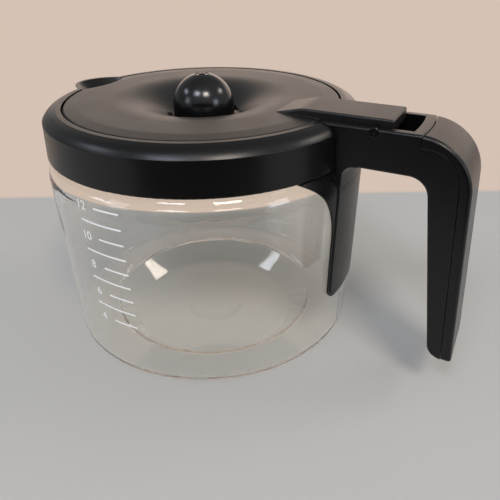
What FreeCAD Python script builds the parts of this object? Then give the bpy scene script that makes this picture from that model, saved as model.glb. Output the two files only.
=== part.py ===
import FreeCAD, Part
import Sketcher
import math
import os

# Glass carafe of a drip coffee maker: a blown glass jug with a moulded collar, a hinged lid and a
# two-part handle. Origin on the jug's axis at the table, +Z up, handle along +X, lip along -X.
# All sizes are in millimetres and all angles in degrees.

doc = FreeCAD.newDocument("glass_carafe")

DRIVING_SIZES = [
    # Glass jug
    ("glass_radius", 81.0, "outside of the straight wall"),
    ("glass_wall", 2.2, "thickness of the glass"),
    ("foot_radius", 48.5, "foot disc, to its sharp corner"),
    ("foot_round", 3.5, "round under the foot disc"),
    ("base_step", 11.5, "rise and run of the slope between foot and base"),
    ("step_round", 1.2, "hollow where the slope meets the base"),
    ("heel_round", 3.5, "round between base and wall"),
    ("shoulder_start", 106.2, "height where the wall's line meets the shoulder's"),
    ("shoulder_round", 14.0, "round between wall and shoulder"),
    ("shoulder_inner_round", 6.0, "the same round inside the jug"),
    ("shoulder_sink", 0.5, "how much lower the shoulder starts inside the jug"),
    ("neck_radius", 71.9, "outside of the neck"),
    ("neck_round", 3.0, "hollow between shoulder and neck"),
    ("neck_height", 10.7, "from the foot of the neck to the mouth"),
    ("neck_wall", 3.7, "thickness of the glass at the neck"),
    ("bead_height", 1.9, "how far the mouth's bead stands out from the neck"),
    ("bead_depth", 4.6, "from the mouth to the underside of the bead"),
    ("bead_round", 0.9, "fire-polished edge of the mouth"),
    ("button_radius", 14.0, "flat top of the moulded button in the middle of the floor"),
    ("button_slope", 4.6, "width of that button's slope"),
    ("button_rise", 1.3, "height of that button"),
    ("button_round", 4.0, "soft round at both ends of that slope"),
    # Gasket between glass and collar
    ("gasket_wall", 1.4, "ring outside the bead"),
    ("gasket_web", 1.0, "room for the gasket above the mouth"),
    ("seal_gap", 0.05, "clearance on each side of the gasket"),
    # Collar
    ("collar_drop", 3.7, "how far the collar hangs below the foot of the neck"),
    ("collar_overhang", 6.8, "collar's upper edge outside the neck"),
    ("collar_draft", 1.0, "how much wider the collar is at the bottom"),
    ("collar_wall", 2.4, "wall at the bottom edge"),
    ("collar_cavity_drop", 6.0, "height of the gasket's seat"),
    ("collar_hem_round", 0.6, "round of the bottom edge"),
    ("ledge_thickness", 1.6, "flange that covers the mouth and carries the lid"),
    ("ledge_width", 3.9, "how far the lid's ledge reaches inwards"),
    ("seat_depth", 3.5, "from the rim to the lid's ledge"),
    ("seat_inset", 2.4, "lid opening inside the neck's radius"),
    ("rim_width", 2.3, "flat band round the lid"),
    ("shoulder_drop", 4.5, "from the rim to the crisp edge above the wall"),
    ("crest_drop", 1.5, "from the rim to the corner of the sloping shoulder"),
    ("crest_inset", 2.2, "that corner inside the collar's upper edge"),
    ("crest_round", 9.0, "soft round of the sloping shoulder"),
    # Pouring lip
    ("lip_reach", 2.7, "tip of the lip beyond the collar's bottom edge"),
    ("lip_slope", 35.0, "slope of the lip's underside"),
    ("lip_radius", 22.4, "round of the lip's underside"),
    ("lip_wall", 1.1, "wall of the lip round its scooped bowl"),
    # Lid
    ("lid_gap", 0.7, "gap round the lid"),
    ("lid_lift", 0.4, "lid's edge above its ledge"),
    ("lid_inset", 0.1, "lid's edge below the rim"),
    ("lid_crown", 0.6, "rise from the edge to the brink of the dish"),
    ("lid_band", 7.4, "sloping band inside the lid's edge"),
    ("lid_band_rise", 0.45, "rise of that band, the rest of the crown is nearly flat"),
    ("lid_wall", 2.4, "thickness of the lid"),
    ("lid_round", 0.8, "round of the lid's edge"),
    ("dish_brink", 30.8, "radius where the crown's line meets the dish's slope"),
    ("dish_round", 44.0, "soft round of the brink"),
    ("dish_floor_radius", 18.5, "flat floor round the dome"),
    ("dish_drop", 9.1, "depth of the dish"),
    ("skirt_gap", 1.4, "lid's skirt inside the ledge"),
    ("skirt_wall", 1.8, "thickness of the skirt"),
    ("skirt_depth", 8.0, "length of the skirt"),
    ("scallop_depth", 7.6, "bite in the lid's edge at the lip"),
    ("scallop_radius", 26.3, "round of that bite"),
    ("drain_width", 2.4, "drain slots round the dome, across"),
    ("drain_length", 13.0, "drain slots round the dome, along"),
    ("drain_gap", 0.4, "drain slots outside the dome"),
    ("hub_wall", 1.8, "ring under the dome"),
    ("hub_height", 5.0, "height of that ring"),
    # Dome
    ("dome_radius", 15.6, "outside of the dome"),
    ("dome_wall", 1.9, "thickness of the dome"),
    ("dome_straight", 4.2, "straight part below the half ball"),
    ("dome_fit", 0.05, "clearance between dome and lid"),
    ("dimple_radius", 3.4, "moulded ring on top of the dome"),
    ("dimple_depth", 0.6, "depth of that ring"),
    ("nub_radius", 1.6, "nub inside that ring"),
    ("vent_radius", 0.7, "vent in the middle of the nub"),
    # Thumb tab and hinge
    ("tab_width", 23.4, "thumb tab, across"),
    ("tab_rise", 3.4, "top of the tab above the rim"),
    ("tab_front", 39.5, "foot of the tab's ramp, from the jug's axis"),
    ("tab_ramp", 19.0, "length of that ramp"),
    ("tab_root", 1.0, "how deep the ramp's foot lies in the lid"),
    ("tab_ramp_round", 14.0, "soft round at the top of the ramp"),
    ("tab_lift", 0.7, "tab's underside above the lid's ledge"),
    ("tab_tail", 6.7, "tab behind the pin"),
    ("tab_round", 0.9, "edges of the tab's tail"),
    ("knuckle_drop", 3.9, "tab's knuckle below the pin's axis"),
    ("knuckle_front", 5.0, "knuckle ahead of the pin's axis"),
    ("pin_radius", 1.9, "hinge pin"),
    ("pin_reach", 13.3, "pin's axis beyond the collar's bottom edge"),
    ("pin_drop", 1.1, "pin's axis below the rim"),
    ("pin_fit", 0.05, "running clearance of the pin"),
    ("pin_inset", 0.3, "pin's ends inside the arm's sides"),
    # Handle
    ("arm_width", 32.4, "arm and grip, across"),
    ("arm_rise", 0.2, "arm's top above the rim"),
    ("arm_depth", 17.9, "arm, top to underside"),
    ("arm_gap", 0.1, "clearance between arm and collar"),
    ("root_wall", 2.5, "least thickness of the arm's root outside the collar"),
    ("root_round", 5.0, "hollow between arm and leg"),
    ("slot_gap", 0.5, "room on each side of the tab"),
    ("slot_rear", 16.0, "rear end of the tab's slot behind the pin"),
    ("slot_front", 7.5, "front end of the deep slot ahead of the pin"),
    ("slot_depth", 8.6, "floor of the deep slot below the pin"),
    ("grip_top_reach", 39.9, "back of the grip at the arm's top, behind the pin"),
    ("grip_bottom_reach", 50.5, "back of the grip at its foot, behind the pin"),
    ("grip_bottom", 23.9, "foot of the grip above the table"),
    ("bend_round", 24.6, "round of the grip's shoulder"),
    ("parting_reach", 20.4, "cover's upper end behind the pin"),
    ("parting_edge", 0.6, "chamfer on both sides of the parting line"),
    ("finger_top_reach", 24.1, "finger side of the grip at the arm, behind the pin"),
    ("finger_bottom_reach", 39.2, "finger side of the grip at its foot, behind the pin"),
    ("finger_round", 9.2, "hollow under the arm"),
    ("toe_round", 7.5, "round of the grip's foot"),
    ("heel_edge", 1.2, "round of the cover's foot"),
    ("cover_depth", 5.0, "cover, back to seam"),
    ("seam_round", 15.4, "round of the seam in the grip's shoulder"),
    ("seam_gap", 0.25, "open seam between cover and frame"),
    ("frame_wall", 3.0, "wall of the hollow grip, finger side and sides"),
    ("cover_wall", 2.2, "back wall of the hollow cover"),
    ("arm_edge", 1.2, "rounded long edges of the arm and grip"),
    ("cover_edge", 1.8, "rounded long edges of the cover"),
    # Bracket leg
    ("leg_gap", 0.25, "leg clear of the glass"),
    ("leg_wall", 1.4, "thickness of the leg's rib, which is as wide as the arm"),
    ("flank_wall", 0.8, "thickness of the leg beside its rib"),
    ("leg_bottom", 41.0, "foot of the leg above the table"),
    ("leg_width", 35.8, "straight part of the leg, across"),
    ("leg_corner", 7.0, "round of the leg's foot"),
    ("flare_width", 19.7, "flare under the collar, each side"),
    ("flare_height", 14.0, "height of the flare's slope"),
    ("flare_round", 36.0, "hollow of the flare"),
    # Screws
    ("screw_radius", 1.5, "shank of every screw"),
    ("head_radius", 2.8, "head of every screw"),
    ("head_height", 1.5, "height of that head"),
    ("screw_fit", 0.1, "clearance round shank and head"),
    ("cover_screw_high", 100.0, "upper cover screw above the table"),
    ("cover_screw_low", 42.0, "lower cover screw above the table"),
    ("cover_screw_sink", 1.7, "cover screw's head below the finger side"),
    ("cover_screw_bite", 3.0, "cover screw's thread in the cover"),
    ("screw_land", 6.0, "solid plastic kept round each cover screw"),
    ("collar_screw_spread", 16.0, "distance between the two collar screws"),
    ("collar_screw_rise", 3.6, "collar screws above the arm's underside"),
    ("collar_screw_seat", 3.0, "seat of their heads inside the collar's bottom edge"),
    ("collar_screw_length", 14.0, "length of their shanks"),
]

sheet = doc.addObject("Spreadsheet::Sheet", "Sizes")
for row, (alias, value, note) in enumerate(DRIVING_SIZES, start=1):
    sheet.set("A%d" % row, note)
    sheet.set("B%d" % row, str(value))
    sheet.setAlias("B%d" % row, alias)
doc.recompute()


class Size:
    """A length or angle that carries its value and the sheet expression that gives it."""

    def __init__(self, text, value):
        self.text = text
        self.value = value

    def joined(self, sign, other, value):
        return Size("(%s %s %s)" % (self.text, sign, other.text), value)

    def __add__(self, other):
        other = as_size(other)
        return self.joined("+", other, self.value + other.value)

    def __sub__(self, other):
        other = as_size(other)
        return self.joined("-", other, self.value - other.value)

    def __mul__(self, other):
        other = as_size(other)
        return self.joined("*", other, self.value * other.value)

    def __truediv__(self, other):
        other = as_size(other)
        return self.joined("/", other, self.value / other.value)

    def __neg__(self):
        return Size("(0 - %s)" % self.text, -self.value)


def as_size(item):
    return item if isinstance(item, Size) else Size("%.9f" % item, float(item))


def root(size):
    return Size("sqrt(%s)" % size.text, math.sqrt(size.value))


def smaller(first, second):
    return Size("min(%s; %s)" % (first.text, second.text), min(first.value, second.value))


def larger(first, second):
    return Size("max(%s; %s)" % (first.text, second.text), max(first.value, second.value))


def sine(angle):
    return Size("sin(%s * 1 deg)" % angle.text, math.sin(math.radians(angle.value)))


def cosine(angle):
    return Size("cos(%s * 1 deg)" % angle.text, math.cos(math.radians(angle.value)))


class Sheet:
    """The driving sizes by name."""


given = Sheet()
for alias, value, note in DRIVING_SIZES:
    setattr(given, alias, Size("Sizes.%s" % alias, value))

ZERO = Size("0", 0.0)
CLEAR = as_size(10.0)
# Offset of a corner between a straight run and a run at 45 degrees, per unit of thickness
HALF_TURN = root(as_size(2)) - 1

# Heights and radii that follow from the driving sizes
neck_start = given.shoulder_start + given.glass_radius - given.neck_radius
mouth_top = neck_start + given.neck_height
bead_radius = given.neck_radius + given.bead_height
bead_bottom = mouth_top - given.bead_depth
ledge_bottom = mouth_top + given.gasket_web
seat_height = ledge_bottom + given.ledge_thickness
rim_top = seat_height + given.seat_depth
seat_radius = given.neck_radius - given.seat_inset
ledge_radius = seat_radius - given.ledge_width
rim_radius = seat_radius + given.rim_width
collar_bottom = neck_start - given.collar_drop
collar_top_radius = given.neck_radius + given.collar_overhang
collar_radius = collar_top_radius + given.collar_draft
collar_edge = rim_top - given.shoulder_drop
crest_radius = collar_top_radius - given.crest_inset
crest_height = rim_top - given.crest_drop
gasket_radius = bead_radius + given.seal_gap + given.gasket_wall

lid_radius = seat_radius - given.lid_gap
lid_edge_top = rim_top - given.lid_inset
lid_edge_bottom = seat_height + given.lid_lift
crown_top = lid_edge_top + given.lid_crown
dish_floor = crown_top - given.dish_drop
skirt_radius = ledge_radius - given.skirt_gap
dome_inner = given.dome_radius - given.dome_wall
hub_radius = dome_inner - given.dome_fit

pin_across = collar_radius + given.pin_reach
pin_height = rim_top - given.pin_drop
tab_top = rim_top + given.tab_rise
tab_bottom = seat_height + given.tab_lift
tab_end = pin_across + given.tab_tail
slot_width = given.tab_width + given.slot_gap * 2
slot_end = pin_across + given.slot_rear
# Where the slot's straight sides meet its rear end, which is an arc round the jug's axis
slot_side_end = root(slot_end * slot_end - slot_width * slot_width / 4)
slot_floor = pin_height - given.slot_depth
slot_angle = Size("(2 * asin(%s / %s / 2))" % (slot_width.text, slot_end.text), 0)

arm_top = rim_top + given.arm_rise
arm_bottom = arm_top - given.arm_depth
arm_half = given.arm_width / 2

# Back of the grip: a straight line that leans out towards its foot
back_top = pin_across + given.grip_top_reach
back_foot = pin_across + given.grip_bottom_reach
grip_height = arm_top - given.grip_bottom
back_lean = (back_foot - back_top) / grip_height
back_secant = root(back_lean * back_lean + 1)
# Share of an offset that the corner between arm and grip moves along the arm
corner_share = back_secant - back_lean
parting = pin_across + given.parting_reach
finger_top = pin_across + given.finger_top_reach
finger_foot = pin_across + given.finger_bottom_reach
finger_lean = (finger_foot - finger_top) / (arm_bottom - given.grip_bottom)


def back_at(height, depth):
    """How far out the grip's back lies at a height, at a depth below its surface."""
    return back_top + (arm_top - height) * back_lean - depth * back_secant


def back_corner(depth, bend):
    """Corner between arm and grip, at a depth below the surface, with its round."""
    return (back_top - depth * corner_share, arm_top - depth, bend)


def finger_at(height):
    """How far out the finger side of the grip lies at a height."""
    return finger_top + (arm_bottom - height) * finger_lean


def tie(thing, path, size):
    thing.setExpression(path, size.text)


def new_body(label):
    body = doc.addObject("PartDesign::Body", label)
    body.Label = label
    return body


def sketch_on(body, name, role):
    """A sketch on one of the body's own origin planes."""
    sketch = body.newObject("Sketcher::SketchObject", name)
    plane = next(item for item in body.Origin.OriginFeatures if item.Role == role)
    sketch.AttachmentSupport = [(plane, "")]
    sketch.MapMode = "FlatFace"
    return sketch


def hold(sketch, geometry, end, across, up):
    """Fix one point of a sketch by its two distances from the origin."""
    for kind, axis, size in (("DistanceX", -2, across), ("DistanceY", -1, up)):
        if size.text == ZERO.text:
            sketch.addConstraint(Sketcher.Constraint("PointOnObject", geometry, end, axis))
        else:
            place = Sketcher.Constraint(kind, -1, 1, geometry, end, size.value)
            tie(sketch, "Constraints[%d]" % sketch.addConstraint(place), size)


def outline(sketch, corners):
    """Closed outline through corners of (across, up) or (across, up, round)."""
    up_axis = FreeCAD.Vector(0, 0, 1)
    points = [FreeCAD.Vector(corner[0].value, corner[1].value, 0) for corner in corners]
    ways = [(points[(i + 1) % len(points)] - point).normalize() for i, point in enumerate(points)]
    enter = list(points)
    leave = list(points)
    arcs = {}
    for i, corner in enumerate(corners):
        if len(corner) < 3:
            continue
        radius = corner[2]
        before = ways[i - 1]
        after = ways[i]
        cut = radius.value * math.tan(before.getAngle(after) / 2)
        enter[i] = points[i] - before * cut
        leave[i] = points[i] + after * cut
        left = before.cross(after).z > 0
        inward = up_axis.cross(before) * (1 if left else -1)
        centre = enter[i] + inward * radius.value
        ends = (enter[i], leave[i]) if left else (leave[i], enter[i])
        first, last = [math.atan2(end.y - centre.y, end.x - centre.x) for end in ends]
        circle = Part.Circle(centre, up_axis, radius.value)
        arcs[i] = (sketch.addGeometry(Part.ArcOfCircle(circle, first, last)), left)
    lines = []
    for i in range(len(points)):
        lines.append(sketch.addGeometry(Part.LineSegment(leave[i], enter[(i + 1) % len(points)])))
    for i, corner in enumerate(corners):
        into = lines[i - 1]
        out = lines[i]
        if i not in arcs:
            sketch.addConstraint(Sketcher.Constraint("Coincident", into, 2, out, 1))
            hold(sketch, out, 1, corner[0], corner[1])
            continue
        arc, left = arcs[i]
        mark = sketch.addGeometry(Part.Point(points[i]), True)
        hold(sketch, mark, 1, corner[0], corner[1])
        sketch.addConstraint(Sketcher.Constraint("PointOnObject", mark, 1, into))
        sketch.addConstraint(Sketcher.Constraint("PointOnObject", mark, 1, out))
        sketch.addConstraint(Sketcher.Constraint("Tangent", into, 2, arc, 1 if left else 2))
        sketch.addConstraint(Sketcher.Constraint("Tangent", out, 1, arc, 2 if left else 1))
        size = Sketcher.Constraint("Radius", arc, corner[2].value)
        tie(sketch, "Constraints[%d]" % sketch.addConstraint(size), corner[2])
    return sketch


def disc(sketch, across, up, radius):
    """A full circle in a sketch."""
    centre = FreeCAD.Vector(across.value, up.value, 0)
    ring = sketch.addGeometry(Part.Circle(centre, FreeCAD.Vector(0, 0, 1), radius.value))
    hold(sketch, ring, 3, across, up)
    size = Sketcher.Constraint("Radius", ring, radius.value)
    tie(sketch, "Constraints[%d]" % sketch.addConstraint(size), radius)
    return sketch


def turned(body, kind, name, corners):
    """A Revolution or a Groove of a section round the jug's axis."""
    sketch = outline(sketch_on(body, name + "_section", "XZ_Plane"), corners)
    feature = body.newObject("PartDesign::" + kind, name)
    feature.Profile = sketch
    feature.ReferenceAxis = (sketch, ["V_Axis"])
    feature.Angle = 360
    return feature


def across_arm(body, kind, name, corners, width):
    """A Pad or a Pocket of a side outline, to both sides of the handle's middle plane."""
    feature = body.newObject("PartDesign::" + kind, name)
    feature.Profile = outline(sketch_on(body, name + "_outline", "XZ_Plane"), corners)
    feature.SideType = "Symmetric"
    tie(feature, "Length", width)
    return feature


def through_lid(body, name, sketch, depth):
    """A Pocket that goes up through the body from the table's plane."""
    feature = body.newObject("PartDesign::Pocket", name)
    feature.Profile = sketch
    feature.Reversed = True
    tie(feature, "Length", depth)
    return feature


TURN_ABOUT = {"x": (FreeCAD.Vector(0, 1, 0), 90), "y": (FreeCAD.Vector(1, 0, 0), -90)}


def rod(owner, kind, name, radius, length, start, along):
    """A cylinder that runs along X or Y from its start."""
    cylinder = owner.newObject(kind, name) if owner else doc.addObject(kind, name)
    tie(cylinder, "Radius", radius)
    tie(cylinder, "Height", length)
    axis, angle = TURN_ABOUT[along]
    cylinder.Placement = FreeCAD.Placement(FreeCAD.Vector(), FreeCAD.Rotation(axis, angle))
    for letter, size in zip("xyz", start):
        tie(cylinder, "Placement.Base." + letter, size)
    return cylinder


def block(body, kind, name, low, high):
    """A box between two corners."""
    box = body.newObject(kind, name)
    for side, first, last in zip(("Length", "Width", "Height"), low, high):
        tie(box, side, last - first)
    for letter, size in zip("xyz", low):
        tie(box, "Placement.Base." + letter, size)
    return box


def edges_where(feature, wanted):
    """Names of the feature's edges whose middle passes the test."""
    doc.recompute()
    names = []
    for number, edge in enumerate(feature.Shape.Edges, start=1):
        middle = edge.valueAt((edge.FirstParameter + edge.LastParameter) / 2)
        if wanted(middle, edge):
            names.append("Edge%d" % number)
    return names


def soften(body, name, feature, radius, wanted):
    """A Fillet of the feature's edges that pass the test."""
    fillet = body.newObject("PartDesign::Fillet", name)
    fillet.Base = (feature, edges_where(feature, wanted))
    tie(fillet, "Radius", radius)
    return fillet


def near(first, second):
    return abs(first - second) < 0.01


# The rounds at both ends of the glass shoulder are limited by the length of its slope
SLOPE_SHARE = 0.9
shoulder_width = given.glass_radius - given.neck_radius
slope_length = shoulder_width * root(as_size(2)) * SLOPE_SHARE
round_length = (given.shoulder_round + given.neck_round) * HALF_TURN
round_share = smaller(as_size(1), slope_length / round_length)
shoulder_bend = given.shoulder_round * round_share

# Glass jug
jug = new_body("glass_jug")
foot_line = given.foot_radius + given.base_step
neck_inside = given.neck_radius - given.neck_wall
wall_inside = given.glass_radius - given.glass_wall
base_inside = given.base_step + given.glass_wall
slope_inset = HALF_TURN * given.glass_wall
bend_inside = given.shoulder_inner_round * round_share
turned(jug, "Revolution", "glass", [
    (ZERO, ZERO),
    (given.foot_radius, ZERO, given.foot_round),
    (foot_line, given.base_step, given.step_round),
    (given.glass_radius, given.base_step, given.heel_round),
    (given.glass_radius, given.shoulder_start, shoulder_bend),
    (given.neck_radius, neck_start, given.neck_round * round_share),
    (given.neck_radius, bead_bottom),
    (bead_radius, bead_bottom + given.bead_height),
    (bead_radius, mouth_top, given.bead_round),
    (neck_inside, mouth_top, given.bead_round),
    (neck_inside, neck_start - slope_inset, (given.neck_round + given.glass_wall) * round_share),
    (wall_inside, given.shoulder_start - slope_inset - given.shoulder_sink, bend_inside),
    (wall_inside, base_inside, given.heel_round - given.glass_wall),
    (foot_line - slope_inset, base_inside, given.step_round + given.glass_wall),
    (given.foot_radius - slope_inset, given.glass_wall, given.foot_round - given.glass_wall),
    (given.button_radius + given.button_slope, given.glass_wall, given.button_round),
    (given.button_radius, given.glass_wall + given.button_rise, given.button_round),
    (ZERO, given.glass_wall + given.button_rise),
])

# Silicone gasket over the mouth's bead
gasket = new_body("rim_gasket")
turned(gasket, "Revolution", "seal", [
    (neck_inside, mouth_top + given.seal_gap),
    (bead_radius + given.seal_gap, mouth_top + given.seal_gap),
    (bead_radius + given.seal_gap, bead_bottom + given.bead_height),
    (gasket_radius, bead_bottom + given.bead_height),
    (gasket_radius, ledge_bottom - given.seal_gap),
    (neck_inside, ledge_bottom - given.seal_gap),
])

# Collar: a solid ring with the lip's underside, then its inside is cut
collar = new_body("collar")
turned(collar, "Revolution", "ring", [
    (ledge_radius, collar_bottom),
    (collar_radius, collar_bottom, given.collar_hem_round),
    (collar_top_radius, collar_edge),
    (crest_radius, crest_height, given.crest_round),
    (rim_radius, rim_top),
    (ledge_radius, rim_top),
])
lip_tip = collar_radius + given.lip_reach
# The lip's underside and its bowl share one axis, which starts beyond the tip
lip_start = (
    given.lip_radius * sine(given.lip_slope) - lip_tip - CLEAR * cosine(given.lip_slope),
    ZERO,
    rim_top + given.lip_radius * cosine(given.lip_slope) + CLEAR * sine(given.lip_slope),
)
lip_length = (lip_tip - ledge_radius) / cosine(given.lip_slope) + CLEAR
lip_angle = Size("(90 deg + %s * 1 deg)" % given.lip_slope.text, 0)
lip = rod(collar, "PartDesign::AdditiveCylinder", "lip", given.lip_radius, lip_length, lip_start, "x")
tie(lip, "Placement.Rotation.Angle", lip_angle)
block(collar, "PartDesign::SubtractiveBox", "above_rim",
      (-lip_tip - CLEAR, -collar_radius, rim_top),
      (lip_tip, collar_radius, rim_top + given.lip_radius * 3))
bowl = rod(collar, "PartDesign::SubtractiveCylinder", "bowl", given.lip_radius - given.lip_wall,
           lip_length, lip_start, "x")
tie(bowl, "Placement.Rotation.Angle", lip_angle)
cavity_bottom = ledge_bottom - given.collar_cavity_drop
cavity_radius = gasket_radius + given.seal_gap
# The bowl is no deeper than the ledge that carries the lid
turned(collar, "Revolution", "bowl_floor", [
    (ledge_radius, cavity_bottom),
    (crest_radius, cavity_bottom),
    (crest_radius, seat_height),
    (ledge_radius, seat_height),
])
turned(collar, "Groove", "inside", [
    (ZERO, collar_bottom - CLEAR * 2),
    (collar_radius - given.collar_wall, collar_bottom - CLEAR * 2),
    (collar_radius - given.collar_wall, cavity_bottom - given.collar_wall),
    (cavity_radius, cavity_bottom),
    (cavity_radius, ledge_bottom),
    (ledge_radius, ledge_bottom),
    (ledge_radius, seat_height),
    (seat_radius, seat_height),
    (seat_radius, rim_top + CLEAR),
    (ZERO, rim_top + CLEAR),
])
block(collar, "PartDesign::SubtractiveBox", "tab_gate",
      (ledge_radius - CLEAR, -slot_width / 2, seat_height),
      (collar_radius + CLEAR, slot_width / 2, rim_top + CLEAR))
collar_screw_height = arm_bottom + given.collar_screw_rise
collar_screw_start = collar_radius - given.collar_screw_seat
head_way = given.head_radius + given.screw_fit
shank_way = given.screw_radius + given.screw_fit
collar_screw_sides = (-given.collar_screw_spread / 2, given.collar_screw_spread / 2)
for number, side in enumerate(collar_screw_sides, start=1):
    rod(collar, "PartDesign::SubtractiveCylinder", "head_seat_%d" % number, head_way, CLEAR,
        (collar_screw_start - CLEAR, side, collar_screw_height), "x")
    rod(collar, "PartDesign::SubtractiveCylinder", "screw_way_%d" % number, shank_way, CLEAR,
        (collar_screw_start - given.screw_fit, side, collar_screw_height), "x")

# Arm and inner half of the grip
arm = new_body("handle_arm")
inner_start = collar_radius - CLEAR
leg_inner = given.glass_radius + given.leg_gap
leg_outer = leg_inner + given.leg_wall
leg_top = collar_bottom - given.arm_gap
root_outer = larger(leg_outer, collar_radius + given.root_wall)
root_end = root_outer + given.root_round
root_bottom = arm_bottom - given.root_round * 2
arm_pad = across_arm(arm, "Pad", "arm", [
    (inner_start, root_bottom),
    (root_end, root_bottom),
    (root_end, arm_bottom),
    (finger_top, arm_bottom, given.finger_round),
    (finger_foot, given.grip_bottom, given.toe_round),
    (back_foot, given.grip_bottom, given.heel_edge),
    back_corner(ZERO, given.bend_round),
    (inner_start, arm_top),
], given.arm_width)


def long_arm_edge(middle, edge):
    """Edges of the arm's and grip's flat sides, apart from the root."""
    on_side = near(abs(middle.y), arm_half.value) and near(edge.BoundBox.YLength, 0)
    on_root = middle.x < root_end.value + 0.01 and middle.z < arm_bottom.value
    return on_side and not on_root and middle.x > inner_start.value + 0.01


soften(arm, "arm_edges", arm_pad, given.arm_edge, long_arm_edge)
# Room for the cover along the back of the grip
across_arm(arm, "Pocket", "cover_way", [
    (parting, arm_top - given.cover_depth),
    back_corner(given.cover_depth, given.seam_round),
    (back_at(given.grip_bottom - CLEAR, given.cover_depth), given.grip_bottom - CLEAR),
    (back_foot + CLEAR, given.grip_bottom - CLEAR),
    (back_foot + CLEAR, arm_top + CLEAR),
    (parting, arm_top + CLEAR),
], given.arm_width)
# The arm's underside runs into the leg with a round hollow
turned(arm, "Groove", "root_hollow", [
    (root_outer, root_bottom - CLEAR),
    (root_end + CLEAR, root_bottom - CLEAR),
    (root_end + CLEAR, arm_bottom),
    (root_outer, arm_bottom, given.root_round),
])


def shoulder_line(offset, height):
    """Radius of the glass shoulder's slope at a height, moved out by an offset."""
    return given.glass_radius + offset + given.shoulder_start + HALF_TURN * offset - height


def glass_side(body, name):
    """A Groove that keeps a piece of the handle clear of the glass wall and its shoulder."""
    upper_end = neck_start + CLEAR
    turned(body, "Groove", name, [
        (ZERO, given.leg_bottom - CLEAR),
        (leg_inner, given.leg_bottom - CLEAR),
        (leg_inner, given.shoulder_start + HALF_TURN * given.leg_gap, shoulder_bend + given.leg_gap),
        (shoulder_line(given.leg_gap, upper_end), upper_end),
        (ZERO, upper_end),
    ])


glass_side(arm, "arm_glass_side")
turned(arm, "Groove", "collar_side", [
    (ZERO, leg_top),
    (collar_radius + given.arm_gap, leg_top),
    (collar_top_radius + given.arm_gap, collar_edge),
    (crest_radius + given.arm_gap, crest_height + given.arm_gap, given.crest_round),
    (rim_radius + given.arm_gap, rim_top + given.arm_gap),
    (rim_radius + given.arm_gap, rim_top + CLEAR),
    (ZERO, rim_top + CLEAR),
])
# The arm's top parts from the cover along an arc round the jug's axis
parting_far = parting + arm_half
turned(arm, "Groove", "parting_arc", [
    (parting, arm_top - given.cover_depth),
    (parting_far, arm_top - given.cover_depth),
    (parting_far, arm_top + CLEAR),
    (parting - given.parting_edge, arm_top + CLEAR),
    (parting - given.parting_edge, arm_top),
    (parting, arm_top - given.parting_edge),
])
across_arm(arm, "Pocket", "tab_slot", [
    (inner_start - CLEAR, seat_height),
    (pin_across - given.slot_front, seat_height),
    (pin_across - given.slot_front, slot_floor),
    (slot_side_end, slot_floor),
    (slot_side_end, arm_top + CLEAR),
    (inner_start - CLEAR, arm_top + CLEAR),
], slot_width)
slot_rear = turned(arm, "Groove", "slot_rear_arc", [
    (pin_across, slot_floor),
    (slot_end, slot_floor),
    (slot_end, arm_top + CLEAR),
    (pin_across, arm_top + CLEAR),
])
slot_rear.Midplane = True
tie(slot_rear, "Angle", slot_angle)
pin_way = given.pin_radius + given.pin_fit
rod(arm, "PartDesign::SubtractiveCylinder", "pin_notch", pin_way, given.arm_width,
    (pin_across, -arm_half, pin_height), "y")
hollow_top = given.cover_screw_high - given.screw_land
hollow_foot = given.cover_screw_low + given.screw_land
hollow_width = given.arm_width - given.frame_wall * 2
across_arm(arm, "Pocket", "grip_hollow", [
    (finger_at(hollow_foot) + given.frame_wall, hollow_foot),
    (back_at(hollow_foot, ZERO), hollow_foot),
    (back_at(hollow_top, ZERO), hollow_top),
    (finger_at(hollow_top) + given.frame_wall, hollow_top),
], hollow_width)
for name, height in (("upper", given.cover_screw_high), ("lower", given.cover_screw_low)):
    seat = finger_at(height) + given.cover_screw_sink
    rod(arm, "PartDesign::SubtractiveCylinder", name + "_head_seat", head_way, CLEAR,
        (seat - CLEAR, ZERO, height), "x")
    rod(arm, "PartDesign::SubtractiveCylinder", name + "_screw_way", shank_way, CLEAR * 3,
        (seat - given.screw_fit, ZERO, height), "x")
for number, side in enumerate(collar_screw_sides, start=1):
    rod(arm, "PartDesign::SubtractiveCylinder", "collar_screw_way_%d" % number, shank_way,
        given.collar_screw_length + given.screw_fit, (collar_screw_start, side, collar_screw_height), "x")

# Bracket leg that bears on the glass, flaring out under the collar
leg = new_body("handle_leg")
half_leg = given.leg_width / 2
half_flare = half_leg + given.flare_width
leg_pad = leg.newObject("PartDesign::Pad", "leg")
leg_pad.Profile = outline(sketch_on(leg, "leg_outline", "YZ_Plane"), [
    (-half_leg, given.leg_bottom, given.leg_corner),
    (half_leg, given.leg_bottom, given.leg_corner),
    (half_leg, leg_top - given.flare_height, given.flare_round),
    (half_flare, leg_top),
    (-half_flare, leg_top),
    (-half_leg, leg_top - given.flare_height, given.flare_round),
])
tie(leg_pad, "Length", leg_outer + CLEAR)


def finger_side(name, thickness):
    """A Groove that leaves a thickness of the leg on the glass wall and its shoulder."""
    offset = given.leg_gap + thickness
    outside = given.glass_radius + offset
    turned(leg, "Groove", name, [
        (outside, given.leg_bottom - CLEAR),
        (outside + CLEAR * 3, given.leg_bottom - CLEAR),
        (outside + CLEAR * 3, leg_top + CLEAR),
        (shoulder_line(offset, leg_top + CLEAR), leg_top + CLEAR),
        (outside, given.shoulder_start + HALF_TURN * offset, shoulder_bend + offset),
    ])


finger_side("flank_side", given.flank_wall)
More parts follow.
